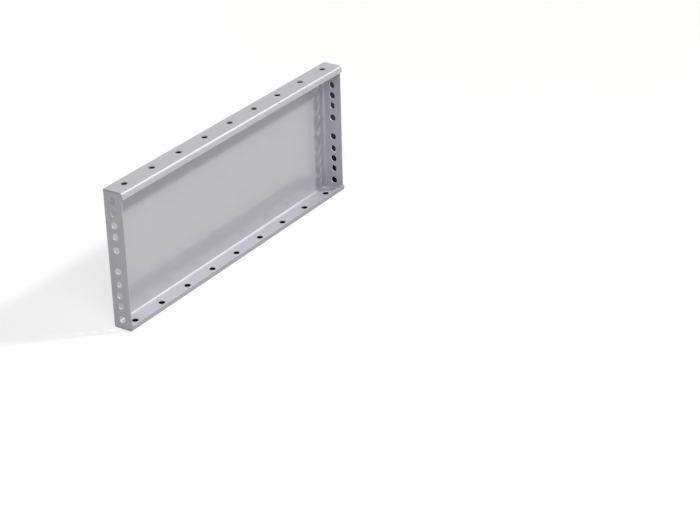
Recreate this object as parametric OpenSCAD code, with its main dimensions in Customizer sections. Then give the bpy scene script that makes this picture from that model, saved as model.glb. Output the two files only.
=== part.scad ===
// Side panel for the plinth of a floor-standing enclosure.
// One steel sheet, folded on four sides into a shallow tray and painted light grey.
// X runs along the panel, +Y points out of its closed face and +Z is up.
// The origin is at the middle of the foot, halfway through the depth.

/* [Panel] */
// Length of the panel, over the end plates
panel_l = 500; // [300:1:1200]
// Height of the panel, over the flanges
panel_h = 198; // [110:1:500]
// Depth of the panel, from its outer face to the front of its lips
panel_d = 34; // [28:0.5:60]

/* [Sheet] */
// Thickness of the steel sheet
sheet_t = 1.5; // [1:0.1:2.5]
// Inside radius of every bend
bend_r = 4; // [2:0.25:5]
// Height of the return lips, over the flanges that carry them
lip_h = 10; // [8:0.5:30]
// Rounding of the free edges of the lips and of the end plates
edge_r = 0.4; // [0.1:0.05:0.45]
// Gap between an end plate and the flanges and lips around it
seam_gap = 0.8; // [0.4:0.1:1.2]

/* [Flange holes] */
// Diameter of the bolt holes in the top and bottom flanges
flange_hole_d = 9; // [5:0.1:12]
// Number of bolt holes along each flange
flange_holes = 9; // [2:1:15]
// Distance from each end of the panel to the middle of the first bolt hole
flange_hole_inset = 25; // [15:0.5:60]

/* [End holes] */
// Height of one plinth unit, which is the spacing of the groups of holes
unit_h = 100; // [90:1:200]
// Diameter of the round holes
end_hole_d = 10; // [5:0.1:12]
// Distance from a group's middle round hole to its upper and lower ones
end_hole_step = 35; // [29:0.5:38]
// Width of the clip holes, which are upright slots with round ends
clip_hole_w = 8; // [5:0.1:9.4]
// Height of the clip holes, over their round ends
clip_hole_h = 10; // [9.5:0.1:14]
// Distance from a group's middle round hole to its clip holes
clip_hole_step = 16; // [13:0.5:20]
// Least strip of sheet between an end hole and the top or bottom of its plate
hole_edge = 5; // [2:0.5:6]

/* [Hidden] */

$fn = 64;
paint = "#BEBDC2";

// Outside radius of every bend
bend_out = bend_r + sheet_t;
// Length of the main wall between the bends of the end plates
wall_l = panel_l - 2 * bend_out;
// Length of a flange's flat, between its two bends
flange_flat = panel_d - 2 * bend_out;
// How far the end plates stay inside the outside of the folded channel
plate_inset = sheet_t + seam_gap;
// Corner radius of an end plate, which follows the inside of the bends
plate_corner_r = bend_r - seam_gap;
// Depth and height of an end plate
plate_d = panel_d - 2 * plate_inset;
plate_h = panel_h - 2 * plate_inset;
// Height of the bend that joins an end plate to the main wall
plate_bend_h = panel_h - 2 * (bend_out + seam_gap);
// Spacing of the bolt holes along a flange
flange_hole_pitch = (panel_l - 2 * flange_hole_inset) / (flange_holes - 1);
// Height of one group of end holes, and how many groups the plate has room for
group_h = 2 * end_hole_step + end_hole_d + 2 * hole_edge;
groups = 1 + floor((plate_h - group_h) / unit_h);
// Tools reach past the surface that they cut by this much
reach = 1;

// Extrudes a section drawn in Y and Z along X, about the middle of the panel
module along_x(length) {
    rotate([90, 0, 90])
        linear_extrude(length, center = true)
            children();
}

// Section of a bend: a quarter ring that starts on one axis and ends on the other
module bend_section() {
    intersection() {
        difference() {
            circle(bend_out);
            circle(bend_r);
        }
        square(bend_out);
    }
}

// Section of a strip of sheet that hangs from the X axis, with a free end whose edges are rounded
module strip_section(length) {
    translate([0, edge_r - length])
        square([sheet_t, length - edge_r]);
    translate([edge_r, -length])
        square([sheet_t - 2 * edge_r, length]);
    for (across = [edge_r, sheet_t - edge_r])
        translate([across, edge_r - length])
            circle(edge_r);
}

// Section of the top flange with its two bends and its lip, drawn about mid height
module flange_section() {
    translate([-flange_flat / 2, panel_h / 2 - sheet_t])
        square([flange_flat, sheet_t]);
    for (side = [-1, 1])
        translate([side * flange_flat / 2, panel_h / 2 - bend_out])
            mirror([side < 0 ? 1 : 0, 0])
                bend_section();
    translate([-panel_d / 2, panel_h / 2 - bend_out])
        strip_section(lip_h - bend_out);
}

// Section of both flanges
module flange_sections() {
    for (side = [0, 1])
        mirror([0, side])
            flange_section();
}

// Section of the main wall, with a flange above and below it
module channel_section() {
    translate([panel_d / 2 - sheet_t, bend_out - panel_h / 2])
        square([sheet_t, panel_h - 2 * bend_out]);
    flange_sections();
}

// The folded channel: its flanges run on past the main wall, over the end plates
module channel() {
    along_x(wall_l)
        channel_section();
    along_x(panel_l)
        flange_sections();
}

// What lies outside the rounded upright corners at the back of the panel
module corner_trim() {
    for (side = [0, 1])
        mirror([side, 0, 0])
            translate([wall_l / 2, flange_flat / 2])
                linear_extrude(panel_h + 2 * reach, center = true)
                    difference() {
                        square(bend_out + reach);
                        circle(bend_out);
                    }
}

// Plan of the main wall and of the end plates that are bent from it
module wall_plan() {
    translate([-wall_l / 2, panel_d / 2 - sheet_t])
        square([wall_l, sheet_t]);
    for (side = [0, 1])
        mirror([side, 0]) {
            translate([wall_l / 2, flange_flat / 2])
                bend_section();
            translate([panel_l / 2 - sheet_t, flange_flat / 2])
                strip_section(panel_d - bend_out - plate_inset);
        }
}

// Outline of an end plate seen from its end: it clears the bends around it
module end_outline() {
    square([plate_d - 2 * plate_corner_r, plate_h], center = true);
    square([plate_d, plate_h - 2 * plate_corner_r], center = true);
    for (across = [-1, 1], up = [-1, 1])
        translate([across * (plate_d / 2 - plate_corner_r), up * (plate_h / 2 - plate_corner_r)])
            circle(plate_corner_r);
    translate([0, -plate_bend_h / 2])
        square([panel_d, plate_bend_h]);
}

// Both end plates, in one sheet with the main wall between them
module end_plates() {
    intersection() {
        linear_extrude(panel_h, center = true)
            wall_plan();
        along_x(panel_l + 2 * reach)
            end_outline();
    }
}

// Bolt holes, each drilled through both flanges in line
module flange_hole_tools() {
    for (i = [0 : flange_holes - 1])
        translate([flange_hole_inset - panel_l / 2 + i * flange_hole_pitch, 0, 0])
            cylinder(d = flange_hole_d, h = panel_h + 2 * reach, center = true);
}

// Round tool that reaches through both end plates at a height
module end_drill(diameter, height) {
    translate([0, 0, height])
        rotate([0, 90, 0])
            cylinder(d = diameter, h = panel_l + 2 * reach, center = true);
}

// Tool for an upright slot with round ends, through both end plates
module clip_hole_tool() {
    straight = clip_hole_h - clip_hole_w;
    for (side = [-1, 1])
        end_drill(clip_hole_w, side * straight / 2);
    cube([panel_l + 2 * reach, clip_hole_w, straight], center = true);
}

// Holes of the end plates, each cut through both plates in line
module end_hole_tools() {
    for (i = [0 : groups - 1])
        translate([0, 0, (i - (groups - 1) / 2) * unit_h]) {
            for (step = [-1, 0, 1])
                end_drill(end_hole_d, step * end_hole_step);
            for (step = [-1, 1])
                translate([0, 0, step * clip_hole_step])
                    clip_hole_tool();
        }
}

module side_panel() {
    color(paint)
        translate([0, 0, panel_h / 2])
            difference() {
                union() {
                    difference() {
                        channel();
                        corner_trim();
                    }
                    end_plates();
                }
                flange_hole_tools();
                end_hole_tools();
            }
}

side_panel();
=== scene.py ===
"""Side panel of an enclosure plinth: its powder coat, and the plain studio that shows it.

The panel is one folded steel sheet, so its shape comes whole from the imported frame. This script coats
it and sets the floor, the lights and the camera. Lengths are in metres.
"""

import math

import bpy
from bpy.props import FloatProperty, FloatVectorProperty, PointerProperty
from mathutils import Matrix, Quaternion, Vector


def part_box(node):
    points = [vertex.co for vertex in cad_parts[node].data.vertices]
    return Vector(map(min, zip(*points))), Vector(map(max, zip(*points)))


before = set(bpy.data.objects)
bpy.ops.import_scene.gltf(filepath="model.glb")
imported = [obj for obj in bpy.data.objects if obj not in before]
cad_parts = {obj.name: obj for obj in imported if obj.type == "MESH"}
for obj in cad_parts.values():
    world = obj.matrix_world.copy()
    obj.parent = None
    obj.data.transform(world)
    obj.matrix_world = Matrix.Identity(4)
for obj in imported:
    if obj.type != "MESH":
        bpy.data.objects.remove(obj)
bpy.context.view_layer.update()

bl_info = {
    "name": "Plinth side panel",
    "version": (1, 0, 0),
    "blender": (4, 5, 0),
    "location": "3D View > Sidebar > Plinth",
    "description": "Coats the folded side panel of an enclosure plinth and sets its studio",
    "category": "Object",
}

MM = 0.001
PANEL = "side_panel"
SHEET = 1.5 * MM
PANEL_LOW, PANEL_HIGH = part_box(PANEL)
PANEL_MIDDLE = (PANEL_LOW + PANEL_HIGH) / 2
POLYESTER_IOR = 1.5
WHITE = (1.0, 1.0, 1.0)


def linear(hex_colour):
    """Linear red, green and blue of an sRGB colour written as #RRGGBB."""
    channels = [int(hex_colour[start:start + 2], 16) / 255 for start in (1, 3, 5)]
    return tuple(c / 12.92 if c <= 0.04045 else ((c + 0.055) / 1.055) ** 2.4 for c in channels)


def opaque(colour):
    """A linear colour with the alpha that a colour socket takes."""
    return (*colour, 1.0)


def add_node(tree, kind, inputs=None, **settings):
    """Adds a node, sets its own settings, and gives its input sockets a value or a link."""
    node = tree.nodes.new(kind)
    for name, value in settings.items():
        setattr(node, name, value)
    for name, value in (inputs or {}).items():
        if isinstance(value, bpy.types.NodeSocket):
            tree.links.new(value, node.inputs[name])
        else:
            node.inputs[name].default_value = value
    return node


def empty_material(name):
    """A new material whose node tree has nothing in it."""
    material = bpy.data.materials.new(name)
    material.use_nodes = True
    material.node_tree.nodes.clear()
    return material


class PlinthPaint(bpy.types.PropertyGroup):
    """The panel's finish."""

    colour: FloatVectorProperty(
        name="Colour", description="Light grey of the powder coat",
        subtype="COLOR", size=3, min=0.0, max=1.0, default=linear("#C6C5CB"))
    thin_colour: FloatVectorProperty(
        name="Thin colour", description="Shade of the coat where it went on a little thinner",
        subtype="COLOR", size=3, min=0.0, max=1.0, default=linear("#C0BFC6"))
    cloud_size: FloatProperty(
        name="Cloud size", description="Width of the soft clouds left by the passes of the spray gun",
        unit="LENGTH", min=5 * MM, max=500 * MM, default=45 * MM)
    peel_size: FloatProperty(
        name="Peel size", description="Spacing of the waves of orange peel in the cured coat",
        unit="LENGTH", min=0.5 * MM, max=20 * MM, default=3 * MM)
    peel_depth: FloatProperty(
        name="Peel depth", description="Height of the waves of orange peel",
        unit="LENGTH", min=0.0, max=0.2 * MM, precision=6, default=0.02 * MM)
    roughness_low: FloatProperty(
        name="Roughness, glossiest", description="Roughness of the coat where it flowed out best",
        subtype="FACTOR", min=0.0, max=1.0, default=0.30)
    roughness_high: FloatProperty(
        name="Roughness, dullest", description="Roughness of the coat where it stayed dullest",
        subtype="FACTOR", min=0.0, max=1.0, default=0.38)
    skin_weight: FloatProperty(
        name="Skin", description="Share of the coat that cured with a clear skin over the pigment",
        subtype="FACTOR", min=0.0, max=1.0, default=0.8)
    skin_roughness: FloatProperty(
        name="Skin roughness", description="Roughness of that clear skin",
        subtype="FACTOR", min=0.0, max=1.0, default=0.12)


class PlinthStage(bpy.types.PropertyGroup):
    """The floor, the lights and the camera."""

    view_aim: FloatVectorProperty(
        name="View aim", description="Point of the floor in the middle of the picture",
        subtype="XYZ", unit="LENGTH", size=3, default=(57.7 * MM, -150.8 * MM, 0.0))
    view_distance: FloatProperty(
        name="View distance", description="Distance from the camera to that point",
        unit="LENGTH", min=0.1, default=2611.8 * MM)
    view_azimuth: FloatProperty(
        name="View azimuth", description="Direction of the camera, to the right of the open side",
        unit="ROTATION", default=math.radians(-56.52))
    view_elevation: FloatProperty(
        name="View elevation", description="Height of the camera over the floor, as an angle",
        unit="ROTATION", default=math.radians(27.25))
    view_roll: FloatProperty(
        name="View roll", description="Turn of the camera about its own axis",
        unit="ROTATION", default=math.radians(-1.35))
    view_lens: FloatProperty(
        name="Lens", description="Focal length of the camera",
        unit="CAMERA", min=10.0, default=97.6)
    key_power: FloatProperty(
        name="Key power", description="Power of the far softbox in front, above and to the right",
        unit="POWER", min=0.0, default=770.0)
    key_colour: FloatVectorProperty(
        name="Key colour", description="Colour of the far softbox, a trace warmer than white",
        subtype="COLOR", size=3, min=0.0, max=1.0, default=linear("#FFFFFA"))
    fill_power: FloatProperty(
        name="Fill power", description="Power of the wide softbox in front, above and to the left",
        unit="POWER", min=0.0, default=24.8)
    fill_colour: FloatVectorProperty(
        name="Fill colour", description="Colour of the wide softbox, a trace cooler than white",
        subtype="COLOR", size=3, min=0.0, max=1.0, default=linear("#F9F9FF"))
    back_power: FloatProperty(
        name="Back power", description="Power of the low softbox behind the closed side",
        unit="POWER", min=0.0, default=20.0)
    gleam_power: FloatProperty(
        name="Gleam power", description="Power of the softbox that shows only as gleams on the bends",
        unit="POWER", min=0.0, default=12.0)
    ambient: FloatProperty(
        name="Ambient", description="Strength of the even light from all round",
        min=0.0, default=0.04)
    paper_colour: FloatVectorProperty(
        name="Paper colour", description="Colour of the floor's paper",
        subtype="COLOR", size=3, min=0.0, max=1.0, default=linear("#C0C0C0"))
    paper_glow: FloatProperty(
        name="Paper glow", description="How far the paper is lifted to white where it is looked at",
        subtype="FACTOR", min=0.0, max=1.0, default=0.66)
    bounce_colour: FloatVectorProperty(
        name="Bounce colour", description="Colour of the floor in the light that it throws back",
        subtype="COLOR", size=3, min=0.0, max=1.0, default=linear("#E7E7E7"))


def powder_coated_steel(paint):
    """Powder-coated sheet steel: an even, semi-gloss skin of polyester, sprayed dry and then baked.

    The eye gets a cool light grey, blurred reflections, faint clouds of the spraying, and highlights that
    the orange peel breaks up a little. Real orange peel here is about 1.5 mm, or one pixel of the
    picture, so it is drawn twice as coarse.
    """
    peel_trough, peel_crest = 0.3, 0.7
    material = empty_material("powder_coated_sheet_steel")
    tree = material.node_tree
    place = add_node(tree, "ShaderNodeTexCoord").outputs["Object"]
    clouds = add_node(tree, "ShaderNodeTexNoise", {
        "Vector": place, "Scale": 1 / paint.cloud_size, "Detail": 3.0, "Roughness": 0.55})
    peel = add_node(tree, "ShaderNodeTexNoise", {
        "Vector": place, "Scale": 1 / paint.peel_size, "Detail": 1.5, "Roughness": 0.5})
    colour = add_node(tree, "ShaderNodeMix", {
        "Factor": clouds.outputs["Fac"], "A": opaque(paint.thin_colour), "B": opaque(paint.colour)},
        data_type="RGBA")
    roughness = add_node(tree, "ShaderNodeMapRange", {
        "Value": peel.outputs["Fac"], "From Min": peel_trough, "From Max": peel_crest,
        "To Min": paint.roughness_low, "To Max": paint.roughness_high})
    relief = add_node(tree, "ShaderNodeBump", {
        "Height": peel.outputs["Fac"], "Strength": 1.0, "Distance": paint.peel_depth})
    coat = add_node(tree, "ShaderNodeBsdfPrincipled", {
        "Base Color": colour.outputs["Result"], "Roughness": roughness.outputs["Result"],
        "Normal": relief.outputs["Normal"], "IOR": POLYESTER_IOR,
        "Coat Weight": paint.skin_weight, "Coat Roughness": paint.skin_roughness,
        "Coat IOR": POLYESTER_IOR, "Coat Normal": relief.outputs["Normal"]})
    add_node(tree, "ShaderNodeOutputMaterial", {"Surface": coat.outputs["BSDF"]})
    return material


def looked_at(tree):
    """Socket that is 1 for what the camera sees straight, in a reflection or through glass."""
    ray = add_node(tree, "ShaderNodeLightPath").outputs
    mirrored = add_node(tree, "ShaderNodeMath", operation="MAXIMUM")
    tree.links.new(ray["Is Camera Ray"], mirrored.inputs[0])
    tree.links.new(ray["Is Glossy Ray"], mirrored.inputs[1])
    either = add_node(tree, "ShaderNodeMath", operation="MAXIMUM")
    tree.links.new(mirrored.outputs["Value"], either.inputs[0])
    tree.links.new(ray["Is Transmission Ray"], either.inputs[1])
    return either.outputs["Value"]


def studio_paper(stage):
    """Matt background paper, which looks white round the panel and keeps the panel's shadow."""
    material = empty_material("matt_background_paper")
    tree = material.node_tree
    bounce = add_node(tree, "ShaderNodeBsdfDiffuse", {"Color": opaque(stage.bounce_colour)})
    sheet = add_node(tree, "ShaderNodeBsdfDiffuse", {"Color": opaque(stage.paper_colour)})
    glow = add_node(tree, "ShaderNodeEmission", {"Color": opaque(WHITE), "Strength": stage.paper_glow})
    white = add_node(tree, "ShaderNodeAddShader")
    tree.links.new(sheet.outputs["BSDF"], white.inputs[0])
    tree.links.new(glow.outputs["Emission"], white.inputs[1])
    paper = add_node(tree, "ShaderNodeMixShader", {"Fac": looked_at(tree)})
    tree.links.new(bounce.outputs["BSDF"], paper.inputs[1])
    tree.links.new(white.outputs["Shader"], paper.inputs[2])
    add_node(tree, "ShaderNodeOutputMaterial", {"Surface": paper.outputs["Shader"]})
    return material


def set_world(stage):
    """Even light from all round, with white wherever the camera looks at it."""
    world = bpy.data.worlds.new("studio_room")
    world.use_nodes = True
    tree = world.node_tree
    tree.nodes.clear()
    room = add_node(tree, "ShaderNodeBackground", {"Color": opaque(WHITE), "Strength": stage.ambient})
    white = add_node(tree, "ShaderNodeBackground", {"Color": opaque(WHITE), "Strength": 1.0})
    both = add_node(tree, "ShaderNodeMixShader", {"Fac": looked_at(tree)})
    tree.links.new(room.outputs["Background"], both.inputs[1])
    tree.links.new(white.outputs["Background"], both.inputs[2])
    add_node(tree, "ShaderNodeOutputWorld", {"Surface": both.outputs["Shader"]})
    bpy.context.scene.world = world


def direction(azimuth, elevation):
    """Unit vector for an azimuth to the right of the open side and an elevation above the floor."""
    return Vector((
        math.sin(azimuth) * math.cos(elevation),
        -math.cos(azimuth) * math.cos(elevation),
        math.sin(elevation)))


def add_softbox(name, azimuth, elevation, distance, size, power, colour=WHITE):
    """A square lamp that points at the middle of the panel; its angles are in degrees."""
    lamp = bpy.data.lights.new(name, "AREA")
    lamp.shape = "SQUARE"
    lamp.size = size
    lamp.energy = power
    lamp.color = colour
    softbox = bpy.data.objects.new(name, lamp)
    towards = direction(math.radians(azimuth), math.radians(elevation))
    softbox.location = PANEL_MIDDLE + towards * distance
    softbox.rotation_mode = "QUATERNION"
    softbox.rotation_quaternion = (-towards).to_track_quat("-Z", "Y")
    bpy.context.collection.objects.link(softbox)
    return softbox


def add_lamps(stage):
    """A far main lamp, a wide fill, a low lamp behind, and one that is seen only in reflections."""
    add_softbox(
        "key", azimuth=42, elevation=42, distance=12.0, size=1.1,
        power=stage.key_power, colour=stage.key_colour)
    add_softbox(
        "fill", azimuth=-45, elevation=44, distance=2.4, size=1.6,
        power=stage.fill_power, colour=stage.fill_colour)
    add_softbox("back", azimuth=165, elevation=7, distance=2.4, size=0.6, power=stage.back_power)
    gleam = add_softbox(
        "gleam", azimuth=58, elevation=36, distance=2.0, size=0.9, power=stage.gleam_power)
    gleam.visible_diffuse = False


def level_corners(low, high, level):
    """Corners of a level rectangle between two points of the plan, at a height."""
    (low_x, low_y), (high_x, high_y) = low, high
    plan = [(low_x, low_y), (high_x, low_y), (high_x, high_y), (low_x, high_y)]
    return [(x, y, level) for x, y in plan]


def add_sheet(name, corners, material):
    """A flat four-cornered sheet that belongs to the stage."""
    mesh = bpy.data.meshes.new(name)
    mesh.from_pydata(corners, [], [range(len(corners))])
    mesh.materials.append(material)
    sheet = bpy.data.objects.new(name, mesh)
    bpy.context.collection.objects.link(sheet)
    return sheet


def add_floor(stage):
    """The floor, just under the panel's foot."""
    reach = 8.0
    drop = 0.1 * MM
    add_sheet("floor", level_corners((-reach, -reach), (reach, reach), -drop), studio_paper(stage))


def fade_upwards(tree, low_colour, high_colour):
    """Socket with a colour that goes from one shade to another over part of the panel's height."""
    fade_start, fade_end = 35 * MM, 110 * MM
    place = add_node(tree, "ShaderNodeTexCoord").outputs["Object"]
    height = add_node(tree, "ShaderNodeSeparateXYZ", {"Vector": place}).outputs["Z"]
    fade = add_node(tree, "ShaderNodeMapRange", {
        "Value": height, "From Min": fade_start, "From Max": fade_end})
    colour = add_node(tree, "ShaderNodeMix", {
        "Factor": fade.outputs["Result"],
        "A": opaque(linear(low_colour)), "B": opaque(linear(high_colour))},
        data_type="RGBA")
    return colour.outputs["Result"]


def one_sided_shade_card(name, colour, high_colour=None):
    """Painted shade: a dark matt card that shows on one side only, in one colour or fading upwards to
    another.
    """
    material = empty_material(name)
    tree = material.node_tree
    shade = fade_upwards(tree, colour, high_colour) if high_colour else opaque(linear(colour))
    painted_shade = add_node(tree, "ShaderNodeBsdfDiffuse", {"Color": shade})
    clear = add_node(tree, "ShaderNodeBsdfTransparent")
    behind = add_node(tree, "ShaderNodeNewGeometry").outputs["Backfacing"]
    card = add_node(tree, "ShaderNodeMixShader", {"Fac": behind})
    tree.links.new(painted_shade.outputs["BSDF"], card.inputs[1])
    tree.links.new(clear.outputs["BSDF"], card.inputs[2])
    add_node(tree, "ShaderNodeOutputMaterial", {"Surface": card.outputs["Shader"]})
    return material


def add_shade_card(name, corners, painted_shade, camera=False, glossy=False):
    """A card of painted shade that shows straight, in reflections or both, and that takes no light from
    the rest.
    """
    card = add_sheet(name, corners, painted_shade)
    card.visible_camera = camera
    card.visible_glossy = glossy
    card.visible_diffuse = False
    card.visible_transmission = False
    card.visible_shadow = False


def add_hole_shade_cards(painted_shade, end_painted_shade):
    """Painted shade: dark cards behind the holes of both flanges and of the right end plate, so that they
    look dark.

    The strip in the foot runs inside the sheet, so it shows only in the holes.
    """
    inset = 10 * MM
    end = PANEL_HIGH.x - inset
    side = 8 * MM
    depth = 0.2 * MM
    for name, level in (("foot_shade_card", SHEET - depth), ("top_shade_card", PANEL_HIGH.z - SHEET - depth)):
        add_shade_card(
            name, level_corners((-end, -side), (end, side), level), painted_shade, camera=True, glossy=True)
    gap = 1 * MM
    margin = 6 * MM
    place = PANEL_HIGH.x + gap
    low, high = PANEL_LOW.z + margin, PANEL_HIGH.z - margin
    # Painted shade outside the right end plate, seen only straight, darker at the bottom and lighter
    # upwards.
    add_shade_card("end_painted_shade", [
        (place, -side, low), (place, -side, high), (place, side, high), (place, side, low)],
        end_painted_shade, camera=True)


def add_floor_shade_card(painted_shade):
    """Painted shade on the floor along the lip: a dark strip that shows in the lip's reflection only and
    darkens it.
    """
    overhang = 10 * MM
    width = 20 * MM
    level = 0.05 * MM
    end = PANEL_HIGH.x + overhang
    near = PANEL_LOW.y
    far = near - width
    add_shade_card("floor_shade_card", level_corners((-end, far), (end, near), level), painted_shade, glossy=True)


def add_camera(stage):
    """The camera, which stands to the left of the open side and looks down on the panel."""
    lens = bpy.data.cameras.new("camera")
    lens.lens = stage.view_lens
    lens.sensor_width = 36.0
    lens.clip_end = 100.0
    camera = bpy.data.objects.new("camera", lens)
    back = direction(stage.view_azimuth, stage.view_elevation)
    camera.location = Vector(stage.view_aim) + back * stage.view_distance
    camera.rotation_mode = "QUATERNION"
    level = (-back).to_track_quat("-Z", "Y")
    camera.rotation_quaternion = level @ Quaternion((0.0, 0.0, 1.0), stage.view_roll)
    bpy.context.collection.objects.link(camera)
    bpy.context.scene.camera = camera


class PLINTH_OT_coat_panel(bpy.types.Operator):
    """Gives the folded panel its powder coat"""

    bl_idname = "plinth.coat_panel"
    bl_label = "Coat panel"

    def execute(self, context):
        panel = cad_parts[PANEL]
        coat = powder_coated_steel(context.scene.plinth_paint)
        for slot in panel.material_slots:
            slot.material = coat
        return {"FINISHED"}


class PLINTH_OT_set_stage(bpy.types.Operator):
    """Sets the floor, the lights and the camera"""

    bl_idname = "plinth.set_stage"
    bl_label = "Set stage"

    def execute(self, context):
        stage = context.scene.plinth_stage
        context.scene.view_settings.view_transform = "Standard"
        set_world(stage)
        add_floor(stage)
        # Dark cards of painted shade for the holes and for the lip's reflection; the end one fades
        # lighter upwards.
        painted_shade = one_sided_shade_card("one_sided_black_painted_shade", "#101012")
        end_painted_shade = one_sided_shade_card("one_sided_fading_painted_shade", "#060612", high_colour="#484957")
        add_hole_shade_cards(painted_shade, end_painted_shade)
        add_floor_shade_card(painted_shade)
        add_lamps(stage)
        add_camera(stage)
        return {"FINISHED"}


class PLINTH_PT_sidebar(bpy.types.Panel):
    """Lists the panel's finish, the stage and what makes them"""

    bl_idname = "PLINTH_PT_sidebar"
    bl_label = "Plinth side panel"
    bl_space_type = "VIEW_3D"
    bl_region_type = "UI"
    bl_category = "Plinth"

    def draw(self, context):
        for settings, operator in (
                (context.scene.plinth_paint, PLINTH_OT_coat_panel),
                (context.scene.plinth_stage, PLINTH_OT_set_stage)):
            box = self.layout.box()
            for name in settings.__annotations__:
                box.prop(settings, name)
            box.operator(operator.bl_idname)


CLASSES = (PlinthPaint, PlinthStage, PLINTH_OT_coat_panel, PLINTH_OT_set_stage, PLINTH_PT_sidebar)


def register():
    for cls in CLASSES:
        bpy.utils.register_class(cls)
    bpy.types.Scene.plinth_paint = PointerProperty(type=PlinthPaint)
    bpy.types.Scene.plinth_stage = PointerProperty(type=PlinthStage)


def unregister():
    del bpy.types.Scene.plinth_stage
    del bpy.types.Scene.plinth_paint
    for cls in reversed(CLASSES):
        bpy.utils.unregister_class(cls)


def main():
    register()
    bpy.ops.plinth.coat_panel()
    bpy.ops.plinth.set_stage()


if __name__ == "__main__":
    main()
